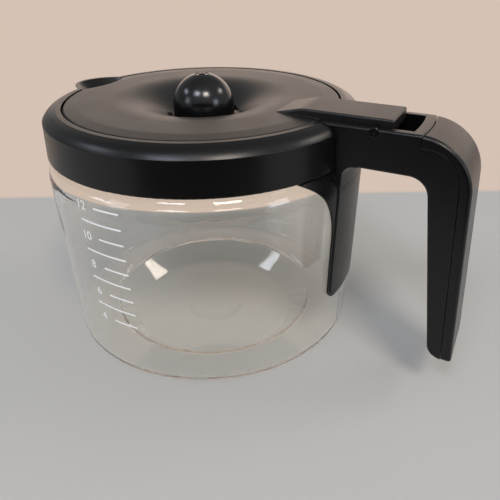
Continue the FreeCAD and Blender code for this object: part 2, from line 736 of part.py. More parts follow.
# The rib carries the arm's width down the leg, inset from the foot as it is from the sides
rib_inset = half_leg - arm_half
rib_foot = given.leg_bottom + rib_inset
rib_corner = given.leg_corner - rib_inset
rib = leg.newObject("PartDesign::Pad", "rib")
rib.Profile = outline(sketch_on(leg, "rib_outline", "YZ_Plane"), [
    (-arm_half, rib_foot, rib_corner),
    (arm_half, rib_foot, rib_corner),
    (arm_half, leg_top),
    (-arm_half, leg_top),
])
tie(rib, "Length", leg_outer + CLEAR)
finger_side("rib_side", given.leg_wall)
glass_side(leg, "leg_glass_side")

# The arm, the inner half of the grip and the leg are one moulding
frame = doc.addObject("Part::Fuse", "handle_frame")
frame.Label = "handle_frame"
frame.Base = arm
frame.Tool = leg
frame.Refine = True

# Outer half of the grip
cover = new_body("handle_cover")
cover_inside = given.cover_depth - given.seam_gap
cover_start = parting + given.seam_gap
cover_front = parting - arm_half
cover_pad = across_arm(cover, "Pad", "cover", [
    (cover_front, arm_top - cover_inside),
    back_corner(cover_inside, given.seam_round + given.seam_gap),
    (back_at(given.grip_bottom, cover_inside), given.grip_bottom),
    (back_foot, given.grip_bottom, given.heel_edge),
    back_corner(ZERO, given.bend_round),
    (cover_front, arm_top),
], given.arm_width)


def long_cover_edge(middle, edge):
    """Edges of the cover's flat sides along its back."""
    on_side = near(abs(middle.y), arm_half.value) and near(edge.BoundBox.YLength, 0)
    depth = back_at(as_size(middle.z), ZERO).value - middle.x
    on_back = depth < given.cover_depth.value / 2 or near(middle.z, arm_top.value)
    on_bend = middle.z > arm_top.value - given.bend_round.value
    arc_centre_x = back_top.value - given.bend_round.value * corner_share.value
    arc_centre_z = arm_top.value - given.bend_round.value
    reach = math.hypot(middle.x - arc_centre_x, middle.z - arc_centre_z)
    return on_side and (on_back or (on_bend and reach > given.bend_round.value - 0.1))


soften(cover, "cover_edges", cover_pad, given.cover_edge, long_cover_edge)
turned(cover, "Groove", "cover_parting_arc", [
    (ZERO, arm_top - given.cover_depth),
    (cover_start, arm_top - given.cover_depth),
    (cover_start, arm_top - given.parting_edge),
    (cover_start + given.parting_edge, arm_top),
    (cover_start + given.parting_edge, arm_top + CLEAR),
    (ZERO, arm_top + CLEAR),
])
across_arm(cover, "Pocket", "cover_hollow", [
    (back_at(hollow_foot, given.cover_depth * 2), hollow_foot),
    (back_at(hollow_foot, given.cover_wall), hollow_foot),
    (back_at(hollow_top, given.cover_wall), hollow_top),
    (back_at(hollow_top, given.cover_depth * 2), hollow_top),
], hollow_width)
for name, height in (("upper", given.cover_screw_high), ("lower", given.cover_screw_low)):
    rod(cover, "PartDesign::SubtractiveCylinder", name + "_pilot", shank_way,
        given.cover_screw_bite + given.screw_fit + CLEAR,
        (back_at(height, given.cover_depth) - CLEAR, ZERO, height), "x")


def screw(name, seat, length):
    """A screw along X: a head before its seat and a shank behind it."""
    head = rod(None, "Part::Cylinder", name + "_head", given.head_radius, given.head_height,
               (seat[0] - given.head_height, seat[1], seat[2]), "x")
    shank = rod(None, "Part::Cylinder", name + "_shank", given.screw_radius, length, seat, "x")
    whole = doc.addObject("Part::Fuse", name)
    whole.Base = head
    whole.Tool = shank
    return whole


def group(label, pieces):
    """Equal pieces that share one node."""
    compound = doc.addObject("Part::Compound", label)
    compound.Label = label
    compound.Links = pieces
    return compound


cover_screw_list = []
for name, height in (("upper", given.cover_screw_high), ("lower", given.cover_screw_low)):
    seat = finger_at(height) + given.cover_screw_sink
    length = back_at(height, given.cover_depth) + given.cover_screw_bite - seat
    cover_screw_list.append(screw("cover_screw_" + name, (seat, ZERO, height), length))
cover_screws = group("cover_screws", cover_screw_list)

collar_screws = group("collar_screws", [
    screw("collar_screw_%d" % number, (collar_screw_start, side, collar_screw_height),
          given.collar_screw_length)
    for number, side in enumerate(collar_screw_sides, start=1)
])

# Hinge pin, snapped into the notches of the arm
pin = rod(None, "Part::Cylinder", "hinge_pin", given.pin_radius, given.arm_width - given.pin_inset * 2,
          (pin_across, given.pin_inset - arm_half, pin_height), "y")
pin.Label = "hinge_pin"

# Lid: dished disc with a skirt and a hub for the dome, then the thumb tab and the cuts
lid = new_body("lid_shell")
dish_run = given.dish_brink - given.dish_floor_radius
dish_slope = root(dish_run * dish_run + given.dish_drop * given.dish_drop)
# Tangent of half the turn between the crown and the dish's slope
dish_half_turn = given.dish_drop / (dish_slope + dish_run)
lid_floor_bottom = dish_floor - given.lid_wall
turned(lid, "Revolution", "dish", [
    (hub_radius - given.hub_wall, lid_floor_bottom),
    (given.dish_floor_radius + dish_half_turn * given.lid_wall, lid_floor_bottom),
    (given.dish_brink + dish_half_turn * given.lid_wall, crown_top - given.lid_wall,
     given.dish_round - given.lid_wall),
    (skirt_radius - given.skirt_wall, lid_edge_bottom + given.lid_inset),
    (skirt_radius - given.skirt_wall, lid_edge_bottom - given.skirt_depth),
    (skirt_radius, lid_edge_bottom - given.skirt_depth),
    (skirt_radius, lid_edge_bottom),
    (lid_radius, lid_edge_bottom),
    (lid_radius, lid_edge_top, given.lid_round),
    (lid_radius - given.lid_band, lid_edge_top + given.lid_band_rise),
    (given.dish_brink, crown_top, given.dish_round),
    (given.dish_floor_radius, dish_floor),
    (hub_radius, dish_floor),
    (hub_radius, dish_floor + given.hub_height),
    (hub_radius - given.hub_wall, dish_floor + given.hub_height),
])
tab_pad = across_arm(lid, "Pad", "thumb_tab", [
    (given.tab_front, lid_edge_top - given.tab_root),
    (skirt_radius, lid_edge_top - given.tab_root),
    (skirt_radius, tab_bottom),
    (pin_across - given.knuckle_front, tab_bottom),
    (pin_across - given.knuckle_front + given.pin_radius, pin_height - given.knuckle_drop),
    (tab_end, pin_height - given.knuckle_drop, given.knuckle_drop),
    (tab_end, tab_top, given.tab_round),
    (given.tab_front + given.tab_ramp, tab_top, given.tab_ramp_round),
], given.tab_width)


def tail_corner(middle, edge):
    """Upright edges at the tail's two corners."""
    return middle.x > tab_end.value - 0.01 and near(abs(middle.y), given.tab_width.value / 2)


soften(lid, "tail_corners", tab_pad, given.tab_round, tail_corner)
rod(lid, "PartDesign::SubtractiveCylinder", "pin_bore", pin_way, given.arm_width,
    (pin_across, -arm_half, pin_height), "y")
scallop_across = given.scallop_depth - lid_radius - given.scallop_radius
scallop = disc(sketch_on(lid, "scallop_outline", "XY_Plane"), scallop_across, ZERO, given.scallop_radius)
through_lid(lid, "scallop", scallop, tab_top + CLEAR)
drain_near = given.dome_radius + given.drain_gap
drain_sketch = outline(sketch_on(lid, "drain_outline", "XY_Plane"), [
    (drain_near, -given.drain_length / 2),
    (drain_near + given.drain_width, -given.drain_length / 2),
    (drain_near + given.drain_width, given.drain_length / 2),
    (drain_near, given.drain_length / 2),
])
# Four drain slots on the diagonals between the tab and the lip
drain_sketch.AttachmentOffset = FreeCAD.Placement(
    FreeCAD.Vector(), FreeCAD.Rotation(FreeCAD.Vector(0, 0, 1), 45))
drain = through_lid(lid, "drain", drain_sketch, dish_floor + given.lid_wall)
drains = lid.newObject("PartDesign::PolarPattern", "drains")
drains.Originals = [drain]
drains.Axis = (drain_sketch, ["N_Axis"])
drains.Angle = 360
drains.Occurrences = 4
lid.Tip = drains

# Dome over the hub
dome = new_body("flow_dome")
dome_foot = dish_floor + given.dome_fit
dome_centre = dome_foot + given.dome_straight
turned(dome, "Revolution", "dome", [
    (ZERO, dome_foot),
    (given.dome_radius, dome_foot),
    (given.dome_radius, dome_centre + given.dome_radius, given.dome_radius - given.dome_fit),
    (ZERO, dome_centre + given.dome_radius),
])
turned(dome, "Groove", "dome_inside", [
    (ZERO, dome_foot - CLEAR),
    (dome_inner, dome_foot - CLEAR),
    (dome_inner, dome_centre + dome_inner, dome_inner - given.dome_fit),
    (ZERO, dome_centre + dome_inner),
])
dome_top = dome_centre + given.dome_radius
turned(dome, "Groove", "dimple", [
    (given.nub_radius, dome_top - given.dimple_depth),
    (given.dimple_radius, dome_top - given.dimple_depth),
    (given.dimple_radius, dome_top + CLEAR),
    (given.nub_radius, dome_top + CLEAR),
])
vent = dome.newObject("PartDesign::SubtractiveCylinder", "vent")
tie(vent, "Radius", given.vent_radius)
tie(vent, "Height", given.dome_radius)
tie(vent, "Placement.Base.z", dome_centre + given.dome_radius / 2)

# Every feature has to be sound, and every cut has to remove something, before anything is written
doc.recompute()
for thing in doc.Objects:
    if "Invalid" in thing.State or "Error" in thing.State:
        raise RuntimeError("%s failed: %s" % (thing.Name, thing.State))
CUTTING = ("Pocket", "Groove", "SubtractiveCylinder", "SubtractiveBox")
for thing in doc.Objects:
    if thing.TypeId.split("::")[-1] in CUTTING and thing.BaseFeature:
        if thing.BaseFeature.Shape.Volume - thing.Shape.Volume < 0.01:
            raise RuntimeError("%s cuts nothing" % thing.Name)

NODES = [jug, gasket, collar, collar_screws, frame, cover, cover_screws, pin, lid, dome]
for node in NODES:
    if node.Shape.isNull() or not node.Shape.isValid():
        raise RuntimeError("%s has no valid shape" % node.Label)

os.makedirs("parts", exist_ok=True)
for node in NODES:
    node.Shape.exportStep("parts/%s.step" % node.Label)
    box = node.Shape.BoundBox
    print("%s: %d solids, %.0f mm3, x %.1f to %.1f, y %.1f to %.1f, z %.1f to %.1f" % (
        node.Label, len(node.Shape.Solids), node.Shape.Volume,
        box.XMin, box.XMax, box.YMin, box.YMax, box.ZMin, box.ZMax))
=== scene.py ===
# %% [markdown]
# A glass coffee carafe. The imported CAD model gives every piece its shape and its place, and this
# lesson gives it its looks: the camera and the light, one material for each finish, and the pieces
# that the solids leave plain, which are the cup scale printed on the glass, the turned ends of the
# hinge pin and the cross recess in the screw heads.

# %% Load the CAD model
import math

import bmesh
import bpy
from mathutils import Matrix, Vector


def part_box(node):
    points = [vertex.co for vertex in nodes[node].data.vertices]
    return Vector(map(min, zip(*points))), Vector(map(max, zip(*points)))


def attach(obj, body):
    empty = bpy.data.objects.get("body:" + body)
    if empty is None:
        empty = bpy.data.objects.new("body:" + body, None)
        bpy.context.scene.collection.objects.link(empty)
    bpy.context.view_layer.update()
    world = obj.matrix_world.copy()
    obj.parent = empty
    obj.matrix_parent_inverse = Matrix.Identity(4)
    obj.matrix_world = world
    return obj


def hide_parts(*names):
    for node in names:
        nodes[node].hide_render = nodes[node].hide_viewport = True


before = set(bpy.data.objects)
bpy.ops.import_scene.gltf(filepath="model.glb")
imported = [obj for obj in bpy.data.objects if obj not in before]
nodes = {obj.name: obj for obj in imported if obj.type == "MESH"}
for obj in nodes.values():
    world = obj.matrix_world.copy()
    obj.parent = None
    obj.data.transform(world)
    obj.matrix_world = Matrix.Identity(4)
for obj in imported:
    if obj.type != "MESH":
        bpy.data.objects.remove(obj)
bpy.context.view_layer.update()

MM = 0.001

# %% [markdown]
# The camera stands where the photograph was taken from. Its place was solved from the collar's
# circles and the glass's outline, so it is written as a place, a heading, a pitch and a small roll.
# A Track To constraint could aim it too, but it can't hold the roll, so the three axes are worked
# out and put into one matrix.

# %% Camera
CAMERA_PLACE = Vector((140.96, -212.97, 195.81)) * MM
CAMERA_HEADING = math.radians(118.4)
CAMERA_PITCH = math.radians(31.6)
CAMERA_ROLL = math.radians(-0.83)
IMAGE_WIDTH_PX = 500
FOCAL_LENGTH_PX = 490
SENSOR_WIDTH_MM = 36

forward = Vector((
    math.cos(CAMERA_HEADING) * math.cos(CAMERA_PITCH),
    math.sin(CAMERA_HEADING) * math.cos(CAMERA_PITCH),
    -math.sin(CAMERA_PITCH),
))
level_right = Vector((math.sin(CAMERA_HEADING), -math.cos(CAMERA_HEADING), 0))
level_up = level_right.cross(forward)
right = level_right * math.cos(CAMERA_ROLL) + level_up * math.sin(CAMERA_ROLL)
up = right.cross(forward)

camera = bpy.data.objects.new("camera", bpy.data.cameras.new("camera"))
camera.data.sensor_width = SENSOR_WIDTH_MM
camera.data.lens = SENSOR_WIDTH_MM * FOCAL_LENGTH_PX / IMAGE_WIDTH_PX
camera.data.clip_start = 1 * MM
turn = Matrix((right, up, -forward)).transposed().to_4x4()
camera.matrix_world = Matrix.Translation(CAMERA_PLACE) @ turn
bpy.context.scene.collection.objects.link(camera)
bpy.context.scene.camera = camera
bpy.context.scene.view_settings.view_transform = "Standard"
print("lens, mm:", round(camera.data.lens, 2))

# %% [markdown]
# Every material below is a small net of nodes. One helper adds a node, sets it up and wires its
# inputs, and another turns the sRGB hex colours that a colour picker shows into the linear numbers
# that the renderer works with. Pattern scales come from a real size in millimetres.

# %% Node helpers
def linear(hex_colour):
    """Linear colour with full alpha from an sRGB hex value."""
    shares = [int(hex_colour[i:i + 2], 16) / 255 for i in (1, 3, 5)]
    return [s / 12.92 if s <= 0.04045 else ((s + 0.055) / 1.055) ** 2.4 for s in shares] + [1.0]


def per(size_mm):
    """Scale of a pattern on Object coordinates whose features are this wide."""
    return 1 / (size_mm * MM)


def add_node(tree, kind, settings=None, feeds=None):
    """A node with its settings, each input fed by another node's socket or a plain value."""
    node = tree.nodes.new(kind)
    for name, value in (settings or {}).items():
        setattr(node, name, value)
    for name, value in (feeds or {}).items():
        if isinstance(value, bpy.types.NodeSocket):
            tree.links.new(value, node.inputs[name])
        else:
            node.inputs[name].default_value = value
    return node


def new_material(name):
    """An empty material: its node tree, its shader and its Object coordinates."""
    material = bpy.data.materials.new(name)
    material.use_nodes = True
    tree = material.node_tree
    place = add_node(tree, "ShaderNodeTexCoord").outputs["Object"]
    return material, tree, tree.nodes["Principled BSDF"], place


# %% [markdown]
# The jug stands on a pale floor. Glass shows what is behind it, so the floor matters to its looks: a
# neutral grey table lies under the jug, and a warm wall stands behind it. A real wall would be in the
# way of views from the back, so the floor itself turns warm beyond the table's far edge. There it is
# also seen at the plain colour of the wall, whatever light falls on it, which Light Path gives.

# %% Floor
TABLE_GREY = "#B4B4B2"
WALL_CREAM = "#D5C2B4"
TABLE_END = 165 * MM
TABLE_EDGE = 5 * MM
FLOOR_RADIUS = 4.0
FLOOR_CORNERS = 96
FLOOR_DROP = 0.1 * MM

floor_mesh = bmesh.new()
bmesh.ops.create_circle(floor_mesh, cap_ends=True, radius=FLOOR_RADIUS, segments=FLOOR_CORNERS)
# A hair below the foot, because two faces in one plane would fight for the same pixels
bmesh.ops.translate(floor_mesh, verts=floor_mesh.verts, vec=(0, 0, -FLOOR_DROP))
floor_data = bpy.data.meshes.new("floor")
floor_mesh.to_mesh(floor_data)
floor_mesh.free()
floor = bpy.data.objects.new("floor", floor_data)
bpy.context.scene.collection.objects.link(floor)

to_wall = Vector((math.cos(CAMERA_HEADING), math.sin(CAMERA_HEADING), 0))
floor_paint, tree, shader, place = new_material("matt_floor_paint")
reach = add_node(tree, "ShaderNodeVectorMath", {"operation": "DOT_PRODUCT"}, {
    0: place, 1: to_wall}).outputs["Value"]
far_share = add_node(tree, "ShaderNodeMapRange", {"interpolation_type": "SMOOTHSTEP"}, {
    "Value": reach, "From Min": TABLE_END - TABLE_EDGE, "From Max": TABLE_END + TABLE_EDGE})
# A Mix node has an A, a B and a Result for each kind of data, so its colours go by number
floor_colour = add_node(tree, "ShaderNodeMix", {"data_type": "RGBA"}, {
    "Factor": far_share.outputs["Result"], 6: linear(TABLE_GREY), 7: linear(WALL_CREAM)}).outputs[2]
tree.links.new(floor_colour, shader.inputs["Base Color"])
shader.inputs["Roughness"].default_value = 0.75
shader.inputs["Specular IOR Level"].default_value = 0.2
rays = add_node(tree, "ShaderNodeLightPath").outputs
seen = add_node(tree, "ShaderNodeMath", {"operation": "MAXIMUM"}, {
    0: rays["Is Camera Ray"], 1: rays["Is Transmission Ray"]}).outputs["Value"]
plain_share = add_node(tree, "ShaderNodeMath", {"operation": "MULTIPLY"}, {
    0: far_share.outputs["Result"], 1: seen}).outputs["Value"]
plain = add_node(tree, "ShaderNodeEmission", None, {"Color": linear(WALL_CREAM)}).outputs["Emission"]
surface = add_node(tree, "ShaderNodeMixShader", None, {
    "Fac": plain_share, 1: shader.outputs["BSDF"], 2: plain}).outputs["Shader"]
tree.links.new(surface, tree.nodes["Material Output"].inputs["Surface"])
floor.data.materials.append(floor_paint)
print("floor radius, m:", FLOOR_RADIUS)

# %% [markdown]
# Most of the room is dim, and its brighter side lies in front and to the right. Behind the jug a warm
# wall glows, and the flat tops mirror it at a low angle, which is why they look paler than the sides.
# A picture of a room could light the scene too, but here the world's strength is worked out from the
# way that a ray goes: its dot product with a heading says how near it is to it, and its Z how steep
# it is. The camera and the glass see the wall in its plain colour.

# %% Room
ROOM_GREY = "#F1F4F6"
ROOM_HEADING = math.radians(-30)
ROOM_BRIGHT = 0.6
ROOM_DIM = 0.3
# Dot products with the heading, from the dim side of the room to the bright one
DIM_SIDE = -0.5
BRIGHT_SIDE = 0.6
GLOW_HEADING = math.radians(106)
GLOW_STRENGTH = 2.3
# Dot products with the heading, from the end of the wall to its full glow
WALL_END = 0.6
WALL_FULL = 0.95
# Z of a ray where the glow starts to fade and where it ends
GLOW_FADES = 0.26
GLOW_ENDS = 0.5

world = bpy.data.worlds.new("room")
world.use_nodes = True
tree = world.node_tree
way = add_node(tree, "ShaderNodeTexCoord").outputs["Generated"]
to_glow = add_node(tree, "ShaderNodeVectorMath", {"operation": "DOT_PRODUCT"}, {
    0: way, 1: (math.cos(GLOW_HEADING), math.sin(GLOW_HEADING), 0)}).outputs["Value"]
across = add_node(tree, "ShaderNodeMapRange", {"interpolation_type": "SMOOTHSTEP"}, {
    "Value": to_glow, "From Min": WALL_END, "From Max": WALL_FULL}).outputs["Result"]
height = add_node(tree, "ShaderNodeSeparateXYZ", None, {"Vector": way}).outputs["Z"]
low = add_node(tree, "ShaderNodeMapRange", {"interpolation_type": "SMOOTHSTEP"}, {
    "Value": height, "From Min": GLOW_FADES, "From Max": GLOW_ENDS,
    "To Min": 1.0, "To Max": 0.0}).outputs["Result"]
glow = add_node(tree, "ShaderNodeMath", {"operation": "MULTIPLY"}, {0: across, 1: low}).outputs["Value"]
to_bright = add_node(tree, "ShaderNodeVectorMath", {"operation": "DOT_PRODUCT"}, {
    0: way, 1: (math.cos(ROOM_HEADING), math.sin(ROOM_HEADING), 0)}).outputs["Value"]
room_level = add_node(tree, "ShaderNodeMapRange", {"interpolation_type": "SMOOTHSTEP"}, {
    "Value": to_bright, "From Min": DIM_SIDE, "From Max": BRIGHT_SIDE,
    "To Min": ROOM_DIM, "To Max": ROOM_BRIGHT}).outputs["Result"]
room = add_node(tree, "ShaderNodeBackground", None, {
    "Color": linear(ROOM_GREY), "Strength": room_level}).outputs["Background"]
wall = add_node(tree, "ShaderNodeBackground", None, {
    "Color": linear(WALL_CREAM), "Strength": GLOW_STRENGTH}).outputs["Background"]
lit_room = add_node(tree, "ShaderNodeMixShader", None, {"Fac": glow, 1: room, 2: wall}).outputs["Shader"]
rays = add_node(tree, "ShaderNodeLightPath").outputs
seen = add_node(tree, "ShaderNodeMath", {"operation": "MAXIMUM"}, {
    0: rays["Is Camera Ray"], 1: rays["Is Transmission Ray"]}).outputs["Value"]
plain = add_node(tree, "ShaderNodeBackground", None, {"Color": linear(WALL_CREAM)}).outputs["Background"]
backdrop = add_node(tree, "ShaderNodeMixShader", None, {
    "Fac": seen, 1: lit_room, 2: plain}).outputs["Shader"]
tree.links.new(backdrop, tree.nodes["World Output"].inputs["Surface"])
bpy.context.scene.world = world
print("room glows towards", round(math.degrees(GLOW_HEADING)), "degrees")

# %% [markdown]
# Six panels hang from the ceiling. The glossy dome shows each of them as a blurred spot, and the place
# of the spot gives the heading and the height of its panel. Point lamps would be simpler, but an area
# light has a shape, which glass and gloss mirror as a bright window, and its shadow is soft. Together
# with the room the panels give paper its own colour.

# %% Panels
PANEL_DISTANCE = 2.2
JUG_MIDDLE = Vector((0, 0, 90 * MM))
WARM_WHITE = "#FFF3E8"
COOL_WHITE = "#E6EFFF"
# Heading and height of each panel in degrees, its two sides in metres, its power in watts, its colour
PANELS = [
    (-41, 51, 0.60, 0.48, 21.0, WARM_WHITE),
    (-90, 52, 0.60, 0.48, 13.0, COOL_WHITE),
    (-151, 39, 0.60, 0.28, 4.0, COOL_WHITE),
    (-123, 21, 0.56, 0.60, 3.2, COOL_WHITE),
    (-8, 18, 0.56, 0.56, 4.4, COOL_WHITE),
    (38, 37, 0.60, 0.28, 5.6, WARM_WHITE),
]

for number, (heading, rise, width, depth, power, colour) in enumerate(PANELS, start=1):
    light = bpy.data.lights.new("panel_%d" % number, "AREA")
    light.shape = "RECTANGLE"
    light.size = width
    light.size_y = depth
    light.energy = power
    light.color = linear(colour)[:3]
    panel = bpy.data.objects.new(light.name, light)
    flat = math.cos(math.radians(rise))
    away = Vector((
        flat * math.cos(math.radians(heading)),
        flat * math.sin(math.radians(heading)),
        math.sin(math.radians(rise)),
    ))
    panel.location = JUG_MIDDLE + away * PANEL_DISTANCE
    panel.rotation_euler = away.to_track_quat("Z", "Y").to_euler()
    panel.visible_camera = False
    bpy.context.scene.collection.objects.link(panel)
print("panels:", len(PANELS))

# %% [markdown]
# The room is dark close to the front of the jug, and the black collar mirrors that as a dark front
# between brighter sides. Dimmer panels would darken everything, so a dark sheet stands there, which
# studios call a flag. It is painted shade: it puts the shaded front of the room into mirror images
# only, takes no light from the floor and shows in no view.

# %% Black flag
FLAG_DISTANCE = 275 * MM
FLAG_WIDTH = 440 * MM
FLAG_HEIGHT = 220 * MM
SHADE_WEAVE_MM = 2

flag_mesh = bmesh.new()
bmesh.ops.create_grid(flag_mesh, x_segments=1, y_segments=1, size=0.5)
bmesh.ops.scale(flag_mesh, verts=flag_mesh.verts, vec=(FLAG_WIDTH, FLAG_HEIGHT, 1))
flag_data = bpy.data.meshes.new("flag")
flag_mesh.to_mesh(flag_data)
flag_mesh.free()
flag = bpy.data.objects.new("flag", flag_data)
flag.location = -to_wall * FLAG_DISTANCE + Vector((0, 0, FLAG_HEIGHT / 2))
flag.rotation_euler = to_wall.to_track_quat("Z", "Y").to_euler()
flag.visible_camera = False
flag.visible_diffuse = False
flag.visible_transmission = False
flag.visible_shadow = False
bpy.context.scene.collection.objects.link(flag)
# The sheet's dark colour is painted shade, seen in reflections only, and noise varies that dark a little
reflected_shade_cloth, tree, shader, place = new_material("reflected_shade_cloth")
shade_weave = add_node(tree, "ShaderNodeTexNoise", None, {
    "Vector": place, "Scale": per(SHADE_WEAVE_MM)}).outputs["Fac"]
reflected_shade_colour = add_node(tree, "ShaderNodeMix", {"data_type": "RGBA"}, {
    "Factor": shade_weave, 6: linear("#1C1C1E"), 7: linear("#2A2A2C")}).outputs[2]
tree.links.new(reflected_shade_colour, shader.inputs["Base Color"])
shader.inputs["Roughness"].default_value = 0.9
flag.data.materials.append(reflected_shade_cloth)
print("flag, m:", FLAG_WIDTH, "by", FLAG_HEIGHT)

# %% [markdown]
# A ray that enters the foot or the heel of the jug is mirrored many times inside the glass before it
# leaves. Cycles drops a ray after a dozen turns and paints it black, which would draw a dark line
# round every edge of the glass. A longer path lets those rays out, and the edges turn bright.

# %% Light paths
LONGEST_PATH = 32

paths = bpy.context.scene.cycles
paths.max_bounces = LONGEST_PATH
paths.glossy_bounces = LONGEST_PATH
paths.transmission_bounces = LONGEST_PATH
paths.transparent_max_bounces = LONGEST_PATH
print("longest light path:", LONGEST_PATH)

# %% [markdown]
# The jug is borosilicate glass, blown into a mould. It is clear, with the faintest warm tint, and its
# walls are not quite even, which bends what is seen through them a little. Waves could be modelled in
# the mesh, but the CAD node keeps its shape, so a bump of slow waves gives that. A thin film of dried
# water gives patches that are a little less clear.

# %% Borosilicate glass
FILM_PATCH_MM = 14
FILM_ROUGHNESS = 0.03
# Noise values between which the film sets in
FILM_STARTS = 0.45
FILM_FULL = 0.8
WAVE_MM = 30
WAVE_HEIGHT = 0.15 * MM

blown_glass, tree, shader, place = new_material("blown_borosilicate_glass")
shader.inputs["Base Color"].default_value = linear("#FDFCF9")
shader.inputs["IOR"].default_value = 1.474
shader.inputs["Transmission Weight"].default_value = 1
film = add_node(tree, "ShaderNodeTexNoise", None, {
    "Vector": place, "Scale": per(FILM_PATCH_MM), "Detail": 3.0}).outputs["Fac"]
film_roughness = add_node(tree, "ShaderNodeMapRange", None, {
    "Value": film, "From Min": FILM_STARTS, "From Max": FILM_FULL,
    "To Min": 0.0, "To Max": FILM_ROUGHNESS}).outputs["Result"]
tree.links.new(film_roughness, shader.inputs["Roughness"])
waves = add_node(tree, "ShaderNodeTexNoise", None, {
    "Vector": place, "Scale": per(WAVE_MM), "Detail": 0.0}).outputs["Fac"]
wave_normal = add_node(tree, "ShaderNodeBump", None, {
    "Height": waves, "Strength": 1.0, "Distance": WAVE_HEIGHT}).outputs["Normal"]
tree.links.new(wave_normal, shader.inputs["Normal"])
# Shadows and diffuse light pass straight through, so the floor under the jug stays lit
rays = add_node(tree, "ShaderNodeLightPath").outputs
unbent = add_node(tree, "ShaderNodeMath", {"operation": "MAXIMUM"}, {
    0: rays["Is Shadow Ray"], 1: rays["Is Diffuse Ray"]}).outputs["Value"]
thin_shadow = add_node(tree, "ShaderNodeBsdfTransparent", None, {
    "Color": linear("#FDFDFC")}).outputs["BSDF"]
surface = add_node(tree, "ShaderNodeMixShader", None, {
    "Fac": unbent, 1: shader.outputs["BSDF"], 2: thin_shadow}).outputs["Shader"]
tree.links.new(surface, tree.nodes["Material Output"].inputs["Surface"])
print(blown_glass.name)

# %% [markdown]
# Collar, handle and lid are black polypropylene. The mould is spark eroded, which leaves a fine
# grain that turns the gloss into a soft sheen. Moulded edges are never quite sharp, so a Bevel node
# rounds the light that they catch. Hands leave slightly smoother patches. The dome, the pin and the
# gasket differ from these only in colour, gloss and grain, so one function makes all.

# %% Moulded polypropylene
SMUDGE_MM = 22
SMUDGE_CHANGE = 0.02
# Noise values between which a smudge sets in
SMUDGE_STARTS = 0.3
SMUDGE_FULL = 0.7


def moulded_plastic(name, colour, roughness, shine, grain_mm, grain_height_mm, edge_mm):
    """Black moulded plastic: grain and worn edges in the normal, smudges in the roughness."""
    material, tree, shader, place = new_material(name)
    shader.inputs["Specular IOR Level"].default_value = shine
    smudge = add_node(tree, "ShaderNodeTexNoise", None, {
        "Vector": place, "Scale": per(SMUDGE_MM), "Detail": 4.0, "Roughness": 0.6}).outputs["Fac"]
    rough = add_node(tree, "ShaderNodeMapRange", None, {
        "Value": smudge, "From Min": SMUDGE_STARTS, "From Max": SMUDGE_FULL,
        "To Min": roughness - SMUDGE_CHANGE, "To Max": roughness + SMUDGE_CHANGE}).outputs["Result"]
    tree.links.new(rough, shader.inputs["Roughness"])
    grain = add_node(tree, "ShaderNodeTexNoise", None, {
        "Vector": place, "Scale": per(grain_mm), "Detail": 2.0}).outputs["Fac"]
    tint = add_node(tree, "ShaderNodeMix", {"data_type": "RGBA"}, {
        "Factor": grain, 6: linear(colour[0]), 7: linear(colour[1])}).outputs[2]
    tree.links.new(tint, shader.inputs["Base Color"])
    edge = add_node(tree, "ShaderNodeBevel", {"samples": 4}, {
        "Radius": edge_mm * MM}).outputs["Normal"]
    normal = add_node(tree, "ShaderNodeBump", None, {
        "Height": grain, "Strength": 1.0, "Distance": grain_height_mm * MM,
        "Normal": edge}).outputs["Normal"]
    tree.links.new(normal, shader.inputs["Normal"])
    print(name)
    return material


# The real grain is about 0.1 mm wide, and it is drawn at 0.7 mm so that the render can show it
black_polypropylene = moulded_plastic(
    "black_polypropylene", ("#060607", "#0A0A0B"), roughness=0.31, shine=0.37,
    grain_mm=0.7, grain_height_mm=0.010, edge_mm=0.4)
lid_polypropylene = moulded_plastic(
    "lid_polypropylene", ("#0D0C0C", "#141312"), roughness=0.38, shine=0.5,
    grain_mm=0.7, grain_height_mm=0.008, edge_mm=0.4)
# The dome is polished in the mould, so it has almost no grain and shows the lamps as soft spots
polished_polypropylene = moulded_plastic(
    "polished_polypropylene", ("#070708", "#0A0A0B"), roughness=0.2, shine=0.5,
    grain_mm=1.2, grain_height_mm=0.002, edge_mm=0.2)
# Acetal is turned on a lathe, which leaves it smooth, and its gloss is low
acetal = moulded_plastic(
    "turned_acetal", ("#060607", "#090909"), roughness=0.3, shine=0.3,
    grain_mm=0.9, grain_height_mm=0.002, edge_mm=0.15)
# Silicone rubber is matt and greyer, because it scatters light at its surface
silicone = moulded_plastic(
    "matt_silicone_rubber", ("#1B1B1B", "#222222"), roughness=0.62, shine=0.4,
    grain_mm=0.6, grain_height_mm=0.006, edge_mm=0.3)

# %% [markdown]
# The screws are zinc plated steel. The plating is grey and a little cloudy. One even grey would look
# too clean, so noise mixes two greys and makes the sheen rougher in patches.

# %% Zinc plated steel
CLOUD_MM = 1.5

zinc_plate, tree, shader, place = new_material("zinc_plated_steel")
shader.inputs["Metallic"].default_value = 1
cloud = add_node(tree, "ShaderNodeTexNoise", None, {
    "Vector": place, "Scale": per(CLOUD_MM), "Detail": 3.0}).outputs["Fac"]
zinc_colour = add_node(tree, "ShaderNodeMix", {"data_type": "RGBA"}, {
    "Factor": cloud, 6: linear("#A9ABAE"), 7: linear("#C4C6C8")}).outputs[2]
tree.links.new(zinc_colour, shader.inputs["Base Color"])
zinc_roughness = add_node(tree, "ShaderNodeMapRange", None, {
    "Value": cloud, "To Min": 0.26, "To Max": 0.44}).outputs["Result"]
tree.links.new(zinc_roughness, shader.inputs["Roughness"])
print(zinc_plate.name)

# %% [markdown]
# The cup scale is white ceramic ink, printed on the glass and fired. It is matt and a little uneven,
# because the ink is thin. It could be painted in the material of the glass, but real ink stands on the
# wall and has an edge, so it is made of thin pieces of its own, in this finish.

# %% Ceramic ink
THIN_PATCH_MM = 0.8

